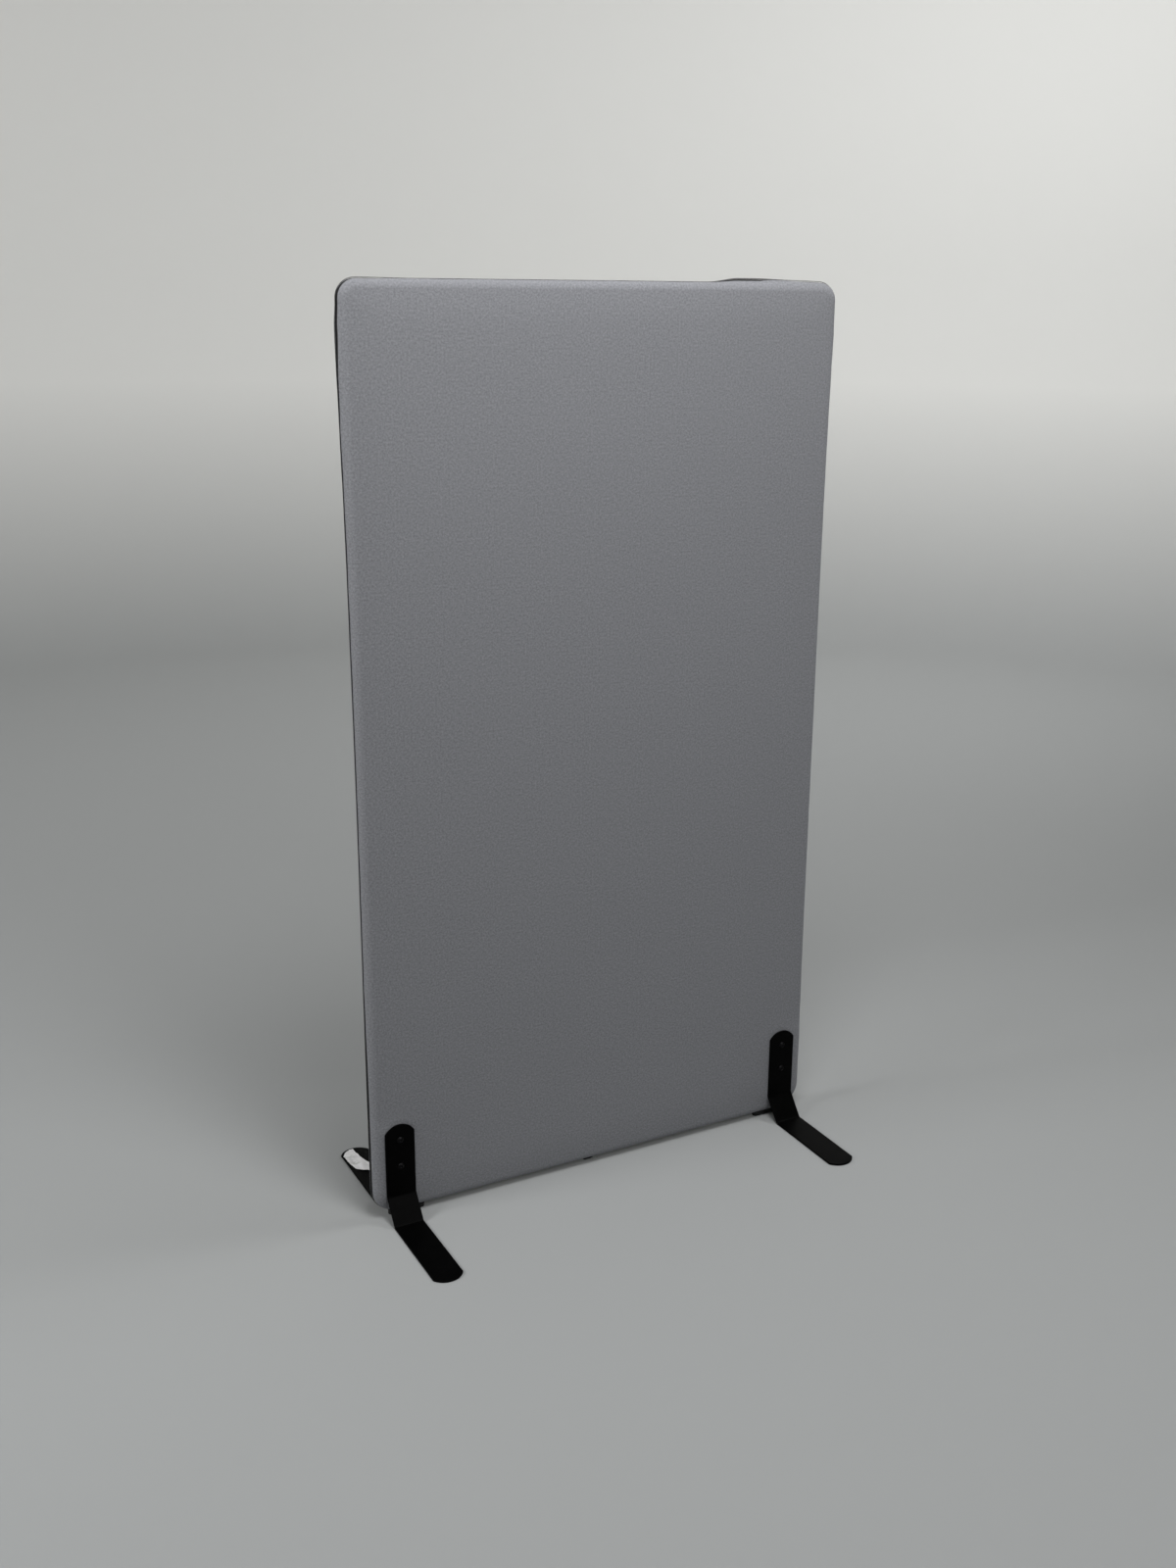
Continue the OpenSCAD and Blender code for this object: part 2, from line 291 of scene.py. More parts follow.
def plain_weave(tree, flat, thread_mm):
    """Height of a plain weave on the cloth's flat coordinates.  Each crossing is a small
    mound, long along the thread that lies on top there, and the two threads take turns."""
    split = node(tree, "SeparateXYZ", {"Vector": flat})
    mound, cell = [], []
    for axis in ("X", "Y"):
        count = node(tree, "Math", {0: split.outputs[axis], 1: per(thread_mm)},
                     operation="MULTIPLY")
        turn = node(tree, "Math", {0: count, 1: math.pi}, operation="MULTIPLY")
        wave = node(tree, "Math", {0: turn}, operation="SINE")
        mound.append(node(tree, "Math", {0: wave}, operation="ABSOLUTE"))
        cell.append(node(tree, "Math", {0: count}, operation="FLOOR"))
    both = node(tree, "Math", {0: cell[0], 1: cell[1]}, operation="ADD")
    odd = node(tree, "Math", {0: both, 1: 2.0}, operation="FLOORED_MODULO")
    on_top = []
    for over, under in (mound, mound[::-1]):
        long_way = node(tree, "Math", {0: under, 1: 0.4}, operation="POWER")
        on_top.append(node(tree, "Math", {0: over, 1: long_way}, operation="MULTIPLY"))
    return node(tree, "Mix", {"Factor": odd, "A": on_top[0], "B": on_top[1]})


def wool_cloth():
    """Mid-grey melange wool-blend upholstery cloth, piece-dyed and lightly felted: matt,
    with mixed light and dark fibres, a close plain weave and a soft glow at the edges.
    Threads 1.1 mm apart; the fibre flecks are drawn 3 mm long, coarser than real ones,
    so that they show on the whole panel."""
    made, tree = new_material("wool_blend_upholstery_cloth")
    flat = node(tree, "UVMap", uv_map="cloth")
    weave = plain_weave(tree, flat, 1.1)
    flecks = node(tree, "TexNoise", {"Vector": flat, "Scale": per(3), "Detail": 4.0,
                                     "Roughness": 0.75})
    melange = node(tree, "ValToRGB", {"Fac": flecks},
                   ((0.32, "#75767b"), (0.5, "#87888c"), (0.68, "#999a9e")))
    threads = node(tree, "ValToRGB", {"Fac": weave}, ((0.0, "#c9c9cc"), (0.6, "#ffffff")))
    toned = node(tree, "Mix", {"Factor": 0.5, "A": melange, "B": threads},
                 data_type="RGBA", blend_type="MULTIPLY")
    fuzz = node(tree, "Math", {0: flecks, 1: 0.6, 2: weave}, operation="MULTIPLY_ADD")
    relief = node(tree, "Bump", {"Height": fuzz, "Distance": 0.12 * MM, "Strength": 0.6})
    surface = node(tree, "BsdfPrincipled",
                   {"Base Color": toned, "Roughness": 0.92, "IOR": 1.5, "Normal": relief,
                    "Specular IOR Level": 0.2, "Sheen Weight": 0.06, "Sheen Roughness": 0.45,
                    "Sheen Tint": linear("#d6d7de")})
    node(tree, "OutputMaterial", {"Surface": surface})
    return made


def polyester_wadding():
    """Bonded polyester wadding: white, matt and loosely fibrous."""
    made, tree = new_material("bonded_polyester_wadding")
    place = node(tree, "TexCoord").outputs["Object"]
    fibres = node(tree, "TexNoise", {"Vector": place, "Scale": per(2.5), "Detail": 6.0,
                                     "Roughness": 0.75})
    white = node(tree, "ValToRGB", {"Fac": fibres}, ((0.3, "#d8d7d2"), (0.7, "#f2f1ed")))
    relief = node(tree, "Bump", {"Height": fibres, "Distance": 0.8 * MM})
    surface = node(tree, "BsdfPrincipled", {"Base Color": white, "Roughness": 0.95, "IOR": 1.46,
                                            "Normal": relief, "Sheen Weight": 0.2})
    node(tree, "OutputMaterial", {"Surface": surface})
    return made


def felt_board():
    """Needle-punched recycled polyester felt: dark flecks in a warm grey, matt."""
    made, tree = new_material("needled_polyester_felt")
    place = node(tree, "TexCoord").outputs["Object"]
    flecks = node(tree, "TexNoise", {"Vector": place, "Scale": per(1.5), "Detail": 5.0,
                                     "Roughness": 0.8})
    grey = node(tree, "ValToRGB", {"Fac": flecks},
                ((0.3, "#4f4c47"), (0.5, "#8b867d"), (0.7, "#bdb8ad")))
    relief = node(tree, "Bump", {"Height": flecks, "Distance": 0.5 * MM})
    surface = node(tree, "BsdfPrincipled",
                   {"Base Color": grey, "Roughness": 0.95, "IOR": 1.46, "Normal": relief})
    node(tree, "OutputMaterial", {"Surface": surface})
    return made


def timber(name, light, dark, ring_mm, turn):
    """Planed timber, unfinished: growth rings cut lengthways show as long streaks, with
    fine pores.  The turn lays the grain along the piece."""
    made, tree = new_material(name)
    place = node(tree, "TexCoord").outputs["Object"]
    laid = node(tree, "Mapping", {"Vector": place, "Rotation": turn, "Scale": (1.0, 1.0, 0.06)})
    streaks = node(tree, "TexWave", {"Vector": laid, "Scale": per(ring_mm) * WAVE,
                                     "Distortion": 6.0, "Detail": 3.0, "Detail Scale": 1.5},
                   wave_type="BANDS", bands_direction="X").outputs["Fac"]
    pores = node(tree, "TexNoise", {"Vector": laid, "Scale": per(1.2), "Detail": 4.0,
                                    "Roughness": 0.7})
    soft = node(tree, "Math", {0: pores, 1: 0.4}, operation="MULTIPLY")
    grain = node(tree, "Math", {0: streaks, 1: 0.6, 2: soft}, operation="MULTIPLY_ADD")
    tone = node(tree, "ValToRGB", {"Fac": grain}, ((0.25, light), (0.75, dark)))
    relief = node(tree, "Bump", {"Height": pores, "Distance": 0.08 * MM})
    surface = node(tree, "BsdfPrincipled", {"Base Color": tone, "Roughness": 0.6, "IOR": 1.5,
                                            "Specular IOR Level": 0.35, "Normal": relief})
    node(tree, "OutputMaterial", {"Surface": surface})
    return made


def powder_coated_steel():
    """Flat steel with a satin black polyester powder coat: deep black, a soft gloss and
    the faint orange peel of baked powder."""
    made, tree = new_material("powder_coated_steel")
    place = node(tree, "TexCoord").outputs["Object"]
    peel = node(tree, "TexNoise", {"Vector": place, "Scale": per(1.3), "Detail": 2.0})
    dust = node(tree, "TexNoise", {"Vector": place, "Scale": per(25), "Detail": 5.0,
                                   "Roughness": 0.65})
    black = node(tree, "ValToRGB", {"Fac": dust}, ((0.35, "#020202"), (0.75, "#050505")))
    gloss = node(tree, "MapRange", {"Value": dust, "To Min": 0.36, "To Max": 0.5})
    relief = node(tree, "Bump", {"Height": peel, "Distance": 0.03 * MM, "Strength": 0.6})
    surface = node(tree, "BsdfPrincipled", {"Base Color": black, "Roughness": gloss, "IOR": 1.5,
                                            "Specular IOR Level": 0.03, "Normal": relief})
    node(tree, "OutputMaterial", {"Surface": surface})
    return made


def blackened_steel():
    """Cold-headed steel screw, black zinc plated: a darker metal with a low gloss."""
    made, tree = new_material("black_zinc_plated_steel")
    place = node(tree, "TexCoord").outputs["Object"]
    wear = node(tree, "TexNoise", {"Vector": place, "Scale": per(3), "Detail": 4.0})
    black = node(tree, "ValToRGB", {"Fac": wear}, ((0.3, "#0b0b0c"), (0.7, "#161617")))
    surface = node(tree, "BsdfPrincipled",
                   {"Base Color": black, "Metallic": 0.7, "Roughness": 0.38,
                    "Specular IOR Level": 0.2})
    node(tree, "OutputMaterial", {"Surface": surface})
    return made


def plated_metal(name, light, dark, roughness):
    """Plated or enamelled zinc die casting: an even coat, faintly mottled."""
    made, tree = new_material(name)
    place = node(tree, "TexCoord").outputs["Object"]
    mottle = node(tree, "TexNoise", {"Vector": place, "Scale": per(2), "Detail": 3.0})
    tone = node(tree, "ValToRGB", {"Fac": mottle}, ((0.3, dark), (0.7, light)))
    relief = node(tree, "Bump", {"Height": mottle, "Distance": 0.01 * MM})
    surface = node(tree, "BsdfPrincipled", {"Base Color": tone, "Metallic": 0.8,
                                            "Roughness": roughness, "Normal": relief})
    node(tree, "OutputMaterial", {"Surface": surface})
    return made


def nylon_teeth():
    """Extruded nylon zip coil, dyed black: smooth, with a little gloss."""
    made, tree = new_material("black_nylon_coil")
    place = node(tree, "TexCoord").outputs["Object"]
    tone = node(tree, "TexNoise", {"Vector": place, "Scale": per(6), "Detail": 2.0})
    black = node(tree, "ValToRGB", {"Fac": tone}, ((0.3, "#0a0a0b"), (0.7, "#121214")))
    surface = node(tree, "BsdfPrincipled", {"Base Color": black, "Roughness": 0.4, "IOR": 1.53,
                                            "Specular IOR Level": 0.3})
    node(tree, "OutputMaterial", {"Surface": surface})
    return made


def zip_tape_cloth():
    """Narrow-woven polyester tape, black: ribs across it every 0.9 mm, matt."""
    made, tree = new_material("woven_polyester_tape")
    flat = node(tree, "UVMap", uv_map="cloth")
    ribs = node(tree, "TexWave", {"Vector": flat, "Scale": per(0.9) * WAVE},
                wave_type="BANDS", bands_direction="X").outputs["Fac"]
    black = node(tree, "ValToRGB", {"Fac": ribs}, ((0.0, "#060607"), (1.0, "#131315")))
    relief = node(tree, "Bump", {"Height": ribs, "Distance": 0.1 * MM})
    surface = node(tree, "BsdfPrincipled", {"Base Color": black, "Roughness": 0.8, "IOR": 1.5,
                                            "Normal": relief, "Sheen Weight": 0.06})
    node(tree, "OutputMaterial", {"Surface": surface})
    return made


def rubber():
    """Moulded EPDM rubber: black, matt, with a bloom of grey dust."""
    made, tree = new_material("moulded_epdm_rubber")
    place = node(tree, "TexCoord").outputs["Object"]
    bloom = node(tree, "TexNoise", {"Vector": place, "Scale": per(8), "Detail": 5.0,
                                    "Roughness": 0.7})
    black = node(tree, "ValToRGB", {"Fac": bloom}, ((0.4, "#080808"), (0.8, "#161615")))
    relief = node(tree, "Bump", {"Height": bloom, "Distance": 0.05 * MM})
    surface = node(tree, "BsdfPrincipled",
                   {"Base Color": black, "Roughness": 0.75, "IOR": 1.52, "Normal": relief})
    node(tree, "OutputMaterial", {"Surface": surface})
    return made


def label_paper():
    """Satin-coated white label paper, torn and creased: a soft sheen, with loose fibres
    at the tears and faint grey scuffs."""
    made, tree = new_material("satin_label_paper")
    place = node(tree, "TexCoord").outputs["Object"]
    fibres = node(tree, "TexNoise", {"Vector": place, "Scale": per(3), "Detail": 6.0,
                                     "Roughness": 0.7})
    scuffs = node(tree, "TexNoise", {"Vector": place, "Scale": per(14), "Detail": 3.0})
    white = node(tree, "ValToRGB", {"Fac": fibres}, ((0.3, "#f2f1f1"), (0.6, "#fbfafb")))
    grey = node(tree, "ValToRGB", {"Fac": scuffs}, ((0.58, "#ffffff"), (0.7, "#d9dad7")))
    toned = node(tree, "Mix", {"Factor": 1.0, "A": white, "B": grey},
                 data_type="RGBA", blend_type="MULTIPLY")
    relief = node(tree, "Bump", {"Height": fibres, "Distance": 0.15 * MM})
    surface = node(tree, "BsdfPrincipled",
                   {"Base Color": toned, "Roughness": 0.38, "IOR": 1.5, "Normal": relief})
    node(tree, "OutputMaterial", {"Surface": surface})
    return made


def stage_paint(low, high):
    """Pale painted backdrop: a slightly deeper floor that clears to off-white above."""
    made, tree = new_material("pale_stage_paint")
    place = node(tree, "TexCoord").outputs["Object"]
    height = node(tree, "SeparateXYZ", {"Vector": place}).outputs["Z"]
    share = node(tree, "MapRange", {"Value": height, "From Min": 0.0, "From Max": 1.0})
    tone = node(tree, "ValToRGB", {"Fac": share}, ((0.0, low), (1.0, high)))
    surface = node(tree, "BsdfPrincipled", {"Base Color": tone, "Roughness": 0.8})
    node(tree, "OutputMaterial", {"Surface": surface})
    return made


cloth = wool_cloth()
wadding_fibre = polyester_wadding()
felt = felt_board()
UPRIGHT, CROSSWISE = (0, 0, 0), (0, math.pi / 2, 0)
pine_upright = timber("planed_pine_upright", "#d9b98a", "#b98f5b", 4, UPRIGHT)
pine_crosswise = timber("planed_pine_crosswise", "#d9b98a", "#b98f5b", 4, CROSSWISE)
beech = timber("turned_beech", "#cfa67a", "#b3875a", 1.5, CROSSWISE)
steel = powder_coated_steel()
screw_steel = blackened_steel()
zinc = plated_metal("zinc_plated_brass", "#c9c7c0", "#a9a79f", 0.3)
enamel = plated_metal("black_enamelled_zinc", "#141415", "#0c0c0d", 0.35)
nylon = nylon_teeth()
tape_cloth = zip_tape_cloth()
epdm = rubber()
paper = label_paper()


# ---- The panel's skin: every soft layer follows it ----

CORNERS = {"bottom_left": (-1, -1, BOTTOM_CORNER), "bottom_right": (1, -1, BOTTOM_CORNER),
           "top_left": (-1, 1, TOP_CORNER), "top_right": (1, 1, TOP_CORNER)}
# Each side runs between the middles of two corner arcs: start and end corner, and the
# directions, in degrees, at its start, along it and at its end.
SIDES = {"bottom": ("bottom_left", "bottom_right", 225, 270, 315),
         "right": ("bottom_right", "top_right", -45, 0, 45),
         "top": ("top_left", "top_right", 135, 90, 45),
         "left": ("bottom_left", "top_left", 225, 180, 135)}


def side_line(side, count, arc_count):
    """Points and outward directions of one side of the core line, half an arc at each end."""
    first, last, start, along, end = SIDES[side]
    angle = np.radians(np.concatenate([np.linspace(start, along, arc_count + 1)[:-1],
                                       np.full(count, along),
                                       np.linspace(along, end, arc_count + 1)[1:]]))
    direction = np.stack([np.cos(angle), np.sin(angle)], -1)
    centre, radius = [], []
    for name in (first, last):
        sx, sz, corner_r = CORNERS[name]
        centre.append(np.array([sx * (CORE_X - corner_r), sz * (CORE_Z - corner_r)]))
        radius.append(corner_r)
    share = np.concatenate([np.zeros(arc_count), np.linspace(0, 1, count),
                            np.ones(arc_count)])[:, None]
    middle = centre[0] * (1 - share) + centre[1] * share
    reach = radius[0] * (1 - share) + radius[1] * share
    return middle + direction * reach, direction


def core_grid(spacing, arc_count):
    """A grid over the core outline, blended between its four sides, with the outward
    directions of its border."""
    across = int(2 * CORE_X / spacing)
    upward = int(2 * CORE_Z / spacing)
    bottom, bottom_out = side_line("bottom", across, arc_count)
    top, top_out = side_line("top", across, arc_count)
    left, left_out = side_line("left", upward, arc_count)
    right, right_out = side_line("right", upward, arc_count)
    u = (bottom[:, 0] + top[:, 0]) / 2
    u = ((u - u[0]) / (u[-1] - u[0]))[:, None, None]
    v = (left[:, 1] + right[:, 1]) / 2
    v = ((v - v[0]) / (v[-1] - v[0]))[None, :, None]
    grid = ((1 - v) * bottom[:, None] + v * top[:, None] + (1 - u) * left[None] + u * right[None]
            - (1 - u) * (1 - v) * bottom[0] - u * (1 - v) * bottom[-1]
            - (1 - u) * v * top[0] - u * v * top[-1])
    out = np.concatenate([bottom_out, right_out[1:], top_out[-2::-1], left_out[-2:0:-1]])
    return grid, out


def inside(points):
    """Distance of points from the core line, inwards."""
    corner_r = np.where(points[..., 1] > 0, TOP_CORNER, BOTTOM_CORNER)
    beyond_x = np.abs(points[..., 0]) - CORE_X + corner_r
    beyond_z = np.abs(points[..., 1]) - CORE_Z + corner_r
    outside = np.hypot(np.maximum(beyond_x, 0), np.maximum(beyond_z, 0))
    return corner_r - outside - np.minimum(np.maximum(beyond_x, beyond_z), 0)


def from_tabs(points):
    """Distance of points from the nearest leg's upright tab."""
    height = points[..., 1] + MID_Z
    beyond_x = np.abs(np.abs(points[..., 0]) - LEG_X) - LEG_W / 2
    beyond_z = np.maximum(height - TAB_TOP + END_SAGITTA / 2, TAB_BEND + BEND_R - height)
    return np.hypot(np.maximum(beyond_x, 0), np.maximum(beyond_z, 0))


EDGE_SINK, SINK_REACH = 1.8, 45     # the padding thins towards the edge
MIDDLE_SAG = 0.5                    # the cloth lies lower over the absorber than the frame


def sink(points, ripple):
    """How far the cover lies below the panel's full thickness.  It thins towards the edge,
    sags over the absorber, ripples a little, and is pressed flat under the leg tabs with
    a low swelling round them."""
    depth = inside(points)
    near_tab = from_tabs(points)
    free = (EDGE_SINK * np.clip(1 - depth / SINK_REACH, 0, 1) ** 2
            + MIDDLE_SAG * smoothstep(50, 150, depth) + ripple)
    swelling = 0.35 * np.exp(-((near_tab - 9) / 6) ** 2)
    return (free - swelling) * smoothstep(0.5, 14, near_tab) + 0.05


def face_ripple(points):
    """Slow waves in the stretched cloth, up to a quarter of a millimetre."""
    x, z = points[..., 0], points[..., 1]
    return 0.12 * (np.sin(x / 61 + z / 190 + 1.0) + np.sin(z / 83 - x / 240)
                   + 0.6 * np.sin((x + z) / 47 + 2.0))


LIP_START, LIP_END = math.radians(48), math.radians(82)
LIP_PULL = 0.7              # how far the cloth is drawn in between those roll angles
RIM_R = CLOTH / 2
CLOTH_STEP = 6.6            # spacing of the cover's grid


def skin(depth, last_y, grid, out, roll_count, seam_ripple):
    """The panel's front half at a depth below its surface: the face grid, and rings that
    roll over the edge until they come within last_y of the middle plane.  A ring is the
    core line moved outwards by the sine of the roll angle and forwards by its cosine,
    and the cloth is drawn in towards the zip."""
    ripple = face_ripple(grid)
    face_y = -(EDGE_R - depth - sink(grid, ripple))
    face = np.dstack([grid[..., 0], face_y, grid[..., 1] + MID_Z, grid * MM])
    loop = border(grid)
    forward = -border(face_y[..., None])[:, 0]
    last = np.arccos(last_y / forward)
    rings = []
    for share in np.linspace(0, 1, roll_count + 1)[1:]:
        roll = last * share
        drawn_in = LIP_PULL * smoothstep(LIP_START, LIP_END, roll)
        reach = EDGE_R - depth - drawn_in + seam_ripple * smoothstep(0.3, 1.3, roll)
        spread = loop + out * (reach * np.sin(roll))[:, None]
        flat = (loop + out * (EDGE_R * roll)[:, None]) * MM
        rings.append(np.column_stack([spread[:, 0], -forward * np.cos(roll),
                                      spread[:, 1] + MID_Z, flat]))
    return face, rings


def length_along(loop):
    """Distance along a closed loop at each of its points, and the whole length."""
    step = np.linalg.norm(np.roll(loop, -1, 0) - loop, axis=1)
    return np.concatenate([[0], np.cumsum(step)[:-1]]), step.sum()


def near_corner(x, z):
    """1 at the panel's corners, fading to 0 a little way along the sides: the zip, stiffer
    than the cloth, stands out there and the cover is drawn back from it."""
    beside = 1 - smoothstep(20, 90, CORE_X - np.abs(x))
    top = beside * (1 - smoothstep(60, 170, CORE_Z - z))
    bottom = beside * (1 - smoothstep(180, 380, CORE_Z + z))
    return top, bottom


RIDGE = 5.6                             # height of the ridge on the top edge
TOP_STAND, BOTTOM_STAND = 0.9, 0.3      # lift of the zip at the corners
GAPE = 2.4                              # widening of the slit there
TOP_SWELL, BOTTOM_SWELL = 3.0, 2.4      # how far the sides stand out
TUCK, WAIST = 2.2, 1.3                  # how far they are drawn back in


def gape(loop):
    """How much further from the zip the cover's lip lies, at points of the core line."""
    return GAPE * np.maximum(*near_corner(loop[:, 0], loop[:, 1]))


def side_puff(x, z):
    """How far the padded sides stand out, or are drawn in when negative: they swell at
    the top corners and at the bottom right one, and the stretched cover tucks in the top
    left corner and waists the middle."""
    height = 0.5 + z / (2 * CORE_Z)
    top = TOP_SWELL * smoothstep(0.72, 0.95, height)
    tuck = TUCK * smoothstep(0.965, 0.99, height) * (x < 0)
    bottom = BOTTOM_SWELL * (1 - smoothstep(0.04, 0.28, height)) * (x > 0)
    return top - tuck + bottom - WAIST * np.exp(-((height - 0.5) / 0.2) ** 2)


def edge_relief(points):
    """Moves what lies on the panel's edge.  The sides puff out and in.  What lies near the
    zip is lifted a little at the corners, twice as much at the top right one, and most at
    the right of the top edge, where the zip stands up in a low ridge that the cover
    follows towards the corner.  The lift fades with distance from just behind the middle
    plane."""
    x, y, z = points[:, 0], points[:, 1], points[:, 2] - MID_Z
    corner_r = np.where(z > 0, TOP_CORNER, BOTTOM_CORNER)
    beyond_x = np.sign(x) * np.maximum(np.abs(x) - CORE_X + corner_r, 0)
    beyond_z = np.sign(z) * np.maximum(np.abs(z) - CORE_Z + corner_r, 0)
    beyond = np.maximum(np.hypot(beyond_x, beyond_z), 1e-6)
    reach = beyond - corner_r
    on_edge = smoothstep(EDGE_R - 12, EDGE_R - 1, reach)
    top, bottom = near_corner(x, z)
    ridge = smoothstep(175, 228, x) * (1 - smoothstep(250, 400, x)) * (z > 0)
    spread = 3.2 + 5 * smoothstep(258, 305, x) * (z > 0)
    fade = np.exp(-((y - 0.8) / spread) ** 2)
    stand = TOP_STAND * top * (1 + (x > 0)) + BOTTOM_STAND * bottom
    lift = (RIDGE * ridge + stand) * fade * on_edge
    puff = side_puff(x, z) * smoothstep(EDGE_R - 4.5, EDGE_R - 0.5, reach)
    moved = points.copy()
    moved[:, 0] += (lift + puff) * beyond_x / beyond
    moved[:, 2] += lift * beyond_z / beyond
    return moved


def finish_half(face, name, points, quads, material, node_name, smooth=True):
    """A piece on one half of the panel, from the front half's shape, which is mirrored to
    make the back half's.  The names have a gap for the half's own name."""
    if face > 0:
        points = points * [1, -1, 1, 1, 1][:points.shape[1]]
        quads = quads[:, ::-1]
    made = add_mesh(name.format(FACE_NAME[face]), edge_relief(points), quads, material, smooth)
    return finish_piece(made, "panel", node_name.format(FACE_NAME[face]))


def cover(face):
    """One cloth cover as a closed sheet: outer skin, a rounded rim beside the zip, and
    the inner skin one cloth thickness below."""
    grid, out = core_grid(CLOTH_STEP, 6)
    along, length = length_along(border(grid))
    seam_ripple = (0.28 * waves(length, (70, 260), along)
                   + 0.14 * waves(length, (27, 60), along, 9))
    rim_y = SLIT + RIM_R + gape(border(grid))
    outer_face, outer_rings = skin(0, rim_y, grid, out, 14, seam_ripple)
    inner_face, inner_rings = skin(CLOTH, rim_y, grid, out, 8, seam_ripple)
    start, end = outer_rings[-1], inner_rings[-1]
    middle = (start + end) / 2
    toward_zip = np.column_stack([np.zeros(len(middle)), np.full(len(middle), RIM_R),
                                  np.zeros((len(middle), 3))])
    rim = [middle + (start - middle) * math.cos(a) + toward_zip * math.sin(a)
           for a in np.radians([45, 90, 135])]
    points, quads = wrap(outer_face, outer_rings + rim + inner_rings[::-1], inner_face)
    return finish_half(face, "cover_{}_cloth", points, quads, cloth, "{}_cover")


def wadding(face):
    """One wadding layer under a cover: a padded sheet with blunt edges that stops short
    of the zip tape."""
    grid, out = core_grid(13, 4)
    still = np.zeros(len(border(grid)))
    top = CLOTH + LAYER
    outer_face, outer_rings = skin(top, 7.4, grid, out, 7, still)
    inner_face, inner_rings = skin(top + WADDING, 6.2, grid, out, 5, still)
    points, quads = wrap(outer_face, outer_rings + inner_rings[::-1], inner_face)
    return finish_half(face, "wadding_{}_layer", points, quads, wadding_fibre,
                       "wadding_{}")


cover_front = cover(-1)
cover_back = cover(1)
wadding_front = wadding(-1)
wadding_back = wadding(1)


# ---- Absorber boards ----

def box_face(low, high, count, inset):
    """A grid over a rectangle, drawn in by an inset."""
    lines = [np.linspace(low[i] + inset, high[i] - inset, count[i]) for i in (0, 1)]
    return np.stack(np.meshgrid(*lines, indexing="ij"), -1)


def absorber(half):
    """A felt board: a plate with soft edges whose faces are crowned a little between the
    rails and stiles that hold it."""
    node_name = f"absorber_{half}"
    low, high = box_mm(node_name)
    edge = 2.5
    face = box_face(low[[0, 2]], high[[0, 2]], (40, 38), edge)
    crown = 0.15
    points, quads = plate(face, high[1] - crown, low[1] + crown, edge)
    middle = (low + high) / 2
    half_size = (high - low) / 2
    u = np.clip((points[:, 0] - middle[0]) / half_size[0], -1, 1)
    v = np.clip((points[:, 1] - middle[2]) / half_size[2], -1, 1)
    swell = 1 + crown / half_size[1] * np.cos(u * math.pi / 2) * np.cos(v * math.pi / 2)
    placed = np.column_stack([points[:, 0], -points[:, 2] * swell, points[:, 1]])
    made = add_mesh(f"absorber_{half}_board", placed, quads, felt)
    return finish_piece(made, "panel", node_name)


absorbers = [absorber("upper"), absorber("lower")]


# ---- Zip ----

TAPE_R, TAPE_T, TAPE_W = 13.2, 0.6, 6.9     # radius of its upper side, thickness, width
TAPE_GAP = 0.1                              # from the middle plane
TOOTH_PITCH, TEETH_TOP = 1.6, 14.8
# A tooth's stations from the tape to past the middle: distance from the middle plane,
# depth below the top, half width and half height.
TOOTH = np.array([[1.65, 0.78, 0.30, 0.18], [1.3, 0.46, 0.32, 0.32], [0.5, 0.34, 0.32, 0.34],
                  [-0.2, 0.42, 0.40, 0.36], [-0.42, 0.55, 0.22, 0.20]])


def zip_line(radius, spacing):
    """Points at equal steps round the panel's edge at a radius from the core line, with
    their outward directions and the distance along."""
    grid, out = core_grid(CLOTH_STEP, 12)
    loop = border(grid) + out * radius
    along, length = length_along(loop)
    count = int(round(length / spacing))
    steps = np.arange(count) * length / count
    closed = np.vstack([np.column_stack([loop, out]), np.append(loop[0], out[0])])
    at = np.append(along, length)
    fine = np.column_stack([np.interp(steps, at, closed[:, i]) for i in range(4)])
    direction = fine[:, 2:] / np.linalg.norm(fine[:, 2:], axis=1, keepdims=True)
    return fine[:, :2] - direction * radius, direction, steps


def tape(face):
    """One woven tape: a thin rounded strip carried round the edge beside the middle plane."""
    core, out, along = zip_line(TAPE_R, 6)
    corner = TAPE_T / 2
    turn = np.radians([90, 45, 0, -45, -90])
    near = np.column_stack([TAPE_R - corner + corner * np.sin(turn),
                            TAPE_GAP + corner - corner * np.cos(turn)])
    far = near[::-1] * [1, -1] + [0, TAPE_W + TAPE_GAP]
    profile = np.vstack([near, far])
    bowed = profile.copy()
    bowed[:, 0] -= TAPE_R - np.sqrt(TAPE_R ** 2 - profile[:, 1] ** 2)
    rings = np.stack([np.column_stack([core[:, 0] + out[:, 0] * r, np.full(len(core), -y),
                                       core[:, 1] + out[:, 1] * r + MID_Z, along * MM,
                                       np.full(len(core), y * MM)]) for r, y in bowed], 1)
    numbers = np.arange(rings.shape[0] * rings.shape[1]).reshape(rings.shape[:2])
    quads = ring_quads(np.vstack([numbers, numbers[:1]]))[:, ::-1]
    return finish_half(face, "zip_tape_{}_strip", rings.reshape(-1, 5), quads, tape_cloth,
                       "zip_tape_{}")


